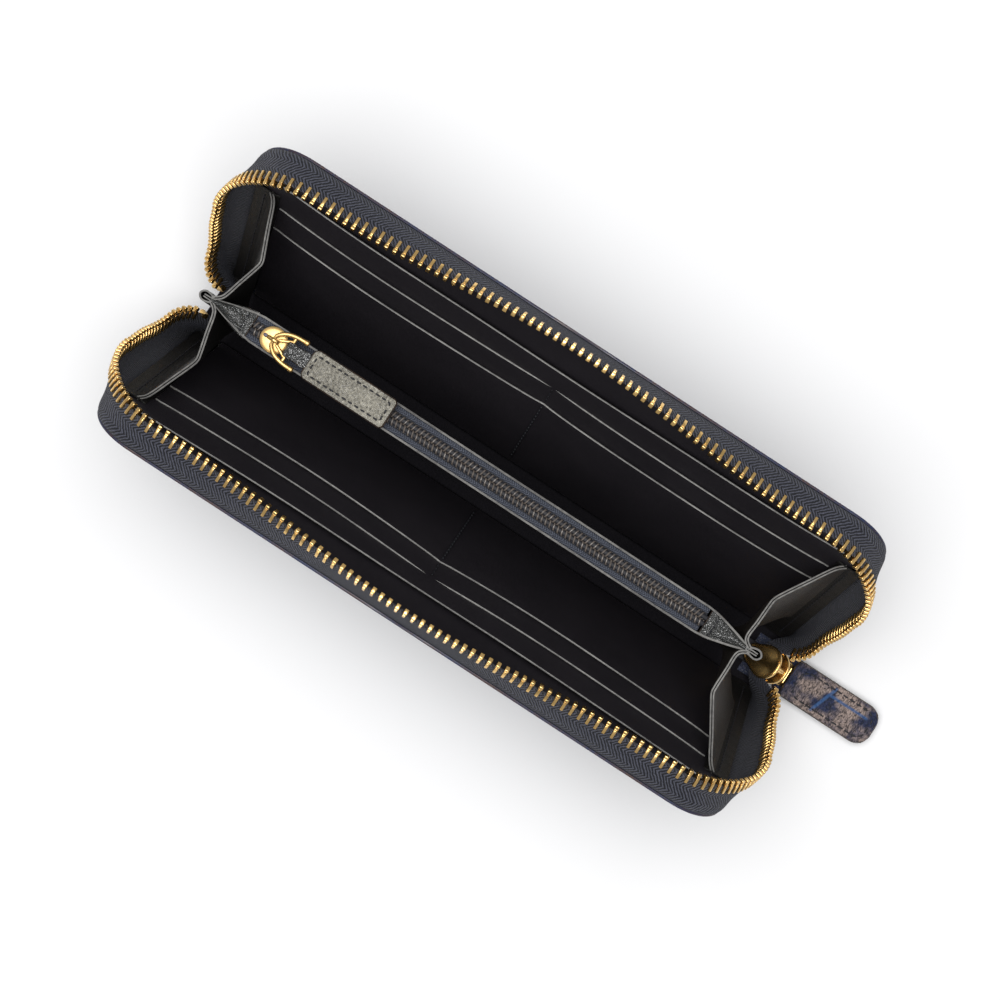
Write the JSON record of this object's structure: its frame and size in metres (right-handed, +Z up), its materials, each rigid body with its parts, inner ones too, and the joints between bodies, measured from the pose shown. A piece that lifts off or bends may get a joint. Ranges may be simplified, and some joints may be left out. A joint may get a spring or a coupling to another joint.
{
  "type": "zip around wallet",
  "caption": "Long zip around wallet standing open on its spine: hinged covers with card slots, bellows gussets, a zipped coin pocket and sliders with leather pulls.",
  "frame": {"origin": "middle of the spine's underside, which the open wallet stands on", "axes": "+X along the spine towards the end where the main zip opens, +Y towards the back cover, +Z up"},
  "size_m": [0.2398, 0.091, 0.1049],
  "materials": {
    "outer_leather": "grained",
    "inner_leather": "smooth",
    "stiffener_board": "matte",
    "gold_metal": "polished",
    "zip_tape": "twill",
    "coil_nylon": "matte"
  },
  "bodies": {
    "wallet_spine": {"spine_leather": "outer_leather", "spine_board": "stiffener_board", "spine_lining": "inner_leather", "coin_pocket_back_wall": "inner_leather", "coin_pocket_front_wall": "inner_leather", "coin_zip_front_tape": "zip_tape", "coin_zip_back_tape": "zip_tape", "coin_zip_front_coil": "coil_nylon", "coin_zip_back_coil": "coil_nylon", "coin_pocket_left_patch": "inner_leather", "coin_pocket_right_patch": "inner_leather", "main_zip_bottom_stop": "gold_metal"},
    "back_cover": {"back_cover_leather": "outer_leather", "back_cover_board": "stiffener_board", "back_cover_lining": "inner_leather", "back_bill_pocket": "inner_leather", "back_upper_card_pocket": "inner_leather", "back_lower_card_pocket": "inner_leather", "back_left_binding": "inner_leather", "back_right_binding": "inner_leather", "back_zip_tape": "zip_tape", "back_zip_teeth": "gold_metal", "back_zip_top_stop": "gold_metal"},
    "front_cover": {"front_cover_leather": "outer_leather", "front_cover_board": "stiffener_board", "front_cover_lining": "inner_leather", "front_bill_pocket": "inner_leather", "front_upper_card_pocket": "inner_leather", "front_lower_card_pocket": "inner_leather", "front_left_binding": "inner_leather", "front_right_binding": "inner_leather", "front_zip_tape": "zip_tape", "front_zip_teeth": "gold_metal", "front_zip_top_stop": "gold_metal"},
    "back_left_outer_gusset_panel": {"back_left_outer_gusset": "inner_leather"},
    "back_left_inner_gusset_panel": {"back_left_inner_gusset": "inner_leather"},
    "front_left_outer_gusset_panel": {"front_left_outer_gusset": "inner_leather"},
    "front_left_inner_gusset_panel": {"front_left_inner_gusset": "inner_leather"},
    "back_right_outer_gusset_panel": {"back_right_outer_gusset": "inner_leather"},
    "back_right_inner_gusset_panel": {"back_right_inner_gusset": "inner_leather"},
    "front_right_outer_gusset_panel": {"front_right_outer_gusset": "inner_leather"},
    "front_right_inner_gusset_panel": {"front_right_inner_gusset": "inner_leather"},
    "main_slider": {"main_slider_body": "gold_metal", "main_slider_bridge": "gold_metal"},
    "main_pull_loop": {"main_pull_link": "gold_metal"},
    "main_pull_tab": {"main_pull_outer_leather": "outer_leather", "main_pull_core": "stiffener_board", "main_pull_inner_leather": "outer_leather"},
    "coin_slider": {"coin_slider_body": "gold_metal", "coin_slider_bridge": "gold_metal"},
    "coin_pull_fork": {"coin_pull_link": "gold_metal"},
    "coin_pull_tab": {"coin_pull_lower_leather": "inner_leather", "coin_pull_core": "stiffener_board", "coin_pull_upper_leather": "inner_leather"}
  },
  "joints": [
    {"name": "back_cover_hinge", "type": "hinge", "parent": "wallet_spine", "child": "back_cover", "pos_m": [0, 0.01, 0.0025], "axis": [-1, 0, 0], "range_deg": [-20.2, 1.5]},
    {"name": "front_cover_hinge", "type": "hinge", "parent": "wallet_spine", "child": "front_cover", "pos_m": [0, -0.01, 0.0025], "axis": [1, 0, 0], "range_deg": [-20.25, 1.55]},
    {"name": "back_left_outer_gusset_fold", "type": "hinge", "parent": "back_cover", "child": "back_left_outer_gusset_panel", "pos_m": [-0.0907, 0.01754, 0.03169], "axis": [0, -0.3453, -0.9385], "range_deg": [-60.47, 4.95]},
    {"name": "back_left_inner_gusset_fold", "type": "hinge", "parent": "wallet_spine", "child": "back_left_inner_gusset_panel", "pos_m": [-0.0922, 0.0015, 0.035], "axis": [0, 0, 1], "range_deg": [-41.7, 3.56]},
    {"name": "front_left_outer_gusset_fold", "type": "hinge", "parent": "front_cover", "child": "front_left_outer_gusset_panel", "pos_m": [-0.0907, -0.01754, 0.03169], "axis": [0, -0.3453, 0.9385], "range_deg": [-60.47, 4.95]},
    {"name": "front_left_inner_gusset_fold", "type": "hinge", "parent": "wallet_spine", "child": "front_left_inner_gusset_panel", "pos_m": [-0.0922, -0.0015, 0.035], "axis": [0, 0, -1], "range_deg": [-41.7, 3.56]},
    {"name": "back_right_outer_gusset_fold", "type": "hinge", "parent": "back_cover", "child": "back_right_outer_gusset_panel", "pos_m": [0.0907, 0.01754, 0.03169], "axis": [0, 0.3453, 0.9385], "range_deg": [-46.41, 3.91]},
    {"name": "back_right_inner_gusset_fold", "type": "hinge", "parent": "wallet_spine", "child": "back_right_inner_gusset_panel", "pos_m": [0.0834, 0.0015, 0.035], "axis": [0, 0, -1], "range_deg": [-60.96, 4.99]},
    {"name": "front_right_outer_gusset_fold", "type": "hinge", "parent": "front_cover", "child": "front_right_outer_gusset_panel", "pos_m": [0.0907, -0.01754, 0.03169], "axis": [0, 0.3453, -0.9385], "range_deg": [-46.41, 3.91]},
    {"name": "front_right_inner_gusset_fold", "type": "hinge", "parent": "wallet_spine", "child": "front_right_inner_gusset_panel", "pos_m": [0.0834, -0.0015, 0.035], "axis": [0, 0, 1], "range_deg": [-60.96, 4.99]},
    {"name": "main_slider_travel", "type": "hinge", "parent": "wallet_spine", "child": "main_slider", "pos_m": [0.0812, 0, 0.02635], "axis": [0, 1, 0], "range_deg": [-50.5, 4.21]},
    {"name": "main_pull_link_swing", "type": "hinge", "parent": "main_slider", "child": "main_pull_loop", "pos_m": [0.09906, 0, 0.0074], "axis": [0, -1, 0], "range_deg": [0, 55]},
    {"name": "main_pull_tab_swing", "type": "hinge", "parent": "main_pull_loop", "child": "main_pull_tab", "pos_m": [0.1033, 0, 0.00315], "axis": [0, -1, 0], "range_deg": [0, 20]},
    {"name": "coin_slider_travel", "type": "slide", "parent": "wallet_spine", "child": "coin_slider", "axis": [1, 0, 0], "range_m": [0, 0.125]},
    {"name": "coin_link_swing", "type": "hinge", "parent": "coin_slider", "child": "coin_pull_fork", "pos_m": [-0.07, 0, 0.0722], "axis": [0, -1, 0], "range_deg": [0, 110]},
    {"name": "coin_tab_swing", "type": "hinge", "parent": "coin_pull_fork", "child": "coin_pull_tab", "pos_m": [-0.065, 0, 0.0722], "axis": [0, -1, 0], "range_deg": [0, 70]}
  ],
  "couplings": [
    {"joint": "front_cover_hinge", "follows": "back_cover_hinge", "ratio": 1},
    {"joint": "back_left_outer_gusset_fold", "follows": "back_cover_hinge", "ratio": 2.969},
    {"joint": "back_left_inner_gusset_fold", "follows": "back_cover_hinge", "ratio": 2.0398},
    {"joint": "front_left_outer_gusset_fold", "follows": "back_cover_hinge", "ratio": 2.969},
    {"joint": "front_left_inner_gusset_fold", "follows": "back_cover_hinge", "ratio": 2.0398},
    {"joint": "back_right_outer_gusset_fold", "follows": "back_cover_hinge", "ratio": 2.2729},
    {"joint": "back_right_inner_gusset_fold", "follows": "back_cover_hinge", "ratio": 2.9929},
    {"joint": "front_right_outer_gusset_fold", "follows": "back_cover_hinge", "ratio": 2.2729},
    {"joint": "front_right_inner_gusset_fold", "follows": "back_cover_hinge", "ratio": 2.9929},
    {"joint": "main_slider_travel", "follows": "back_cover_hinge", "ratio": 2.4752}
  ]
}
